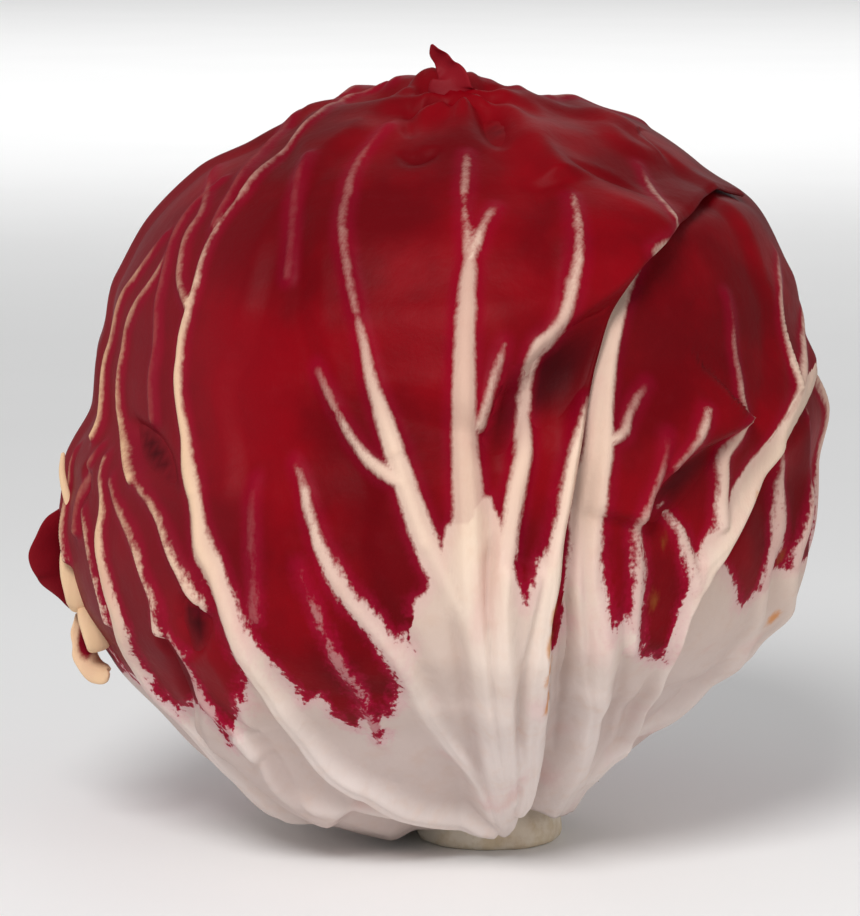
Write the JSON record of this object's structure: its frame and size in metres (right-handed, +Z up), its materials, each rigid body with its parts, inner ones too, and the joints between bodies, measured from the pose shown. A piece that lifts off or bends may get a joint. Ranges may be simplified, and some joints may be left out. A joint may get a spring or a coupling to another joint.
{
  "type": "radicchio head",
  "caption": "Round head of radicchio: crimson leaves with white ribs wrapped over one another on a cut stem, ending in a twisted leaf tip.",
  "frame": {"origin": "centre of the stem's flat cut face, which lies on the surface", "axes": "+Z up the head from the cut face, -Y towards the large front leaf, +X to the right of it"},
  "size_m": [0.1261, 0.1223, 0.1275],
  "materials": {
    "leaf": "fresh crimson leaf with a soft waxy sheen and white ribs",
    "stem": "matte cream cut stem, browned at its rim"
  },
  "bodies": {
    "root": {"stem": "stem", "inner_head": "leaf", "leaf_back": "leaf", "leaf_back_left": "leaf", "leaf_back_right": "leaf", "leaf_right_under": "leaf", "leaf_right": "leaf", "leaf_front": "leaf", "leaf_small_left": "leaf"}
  },
  "joints": []
}
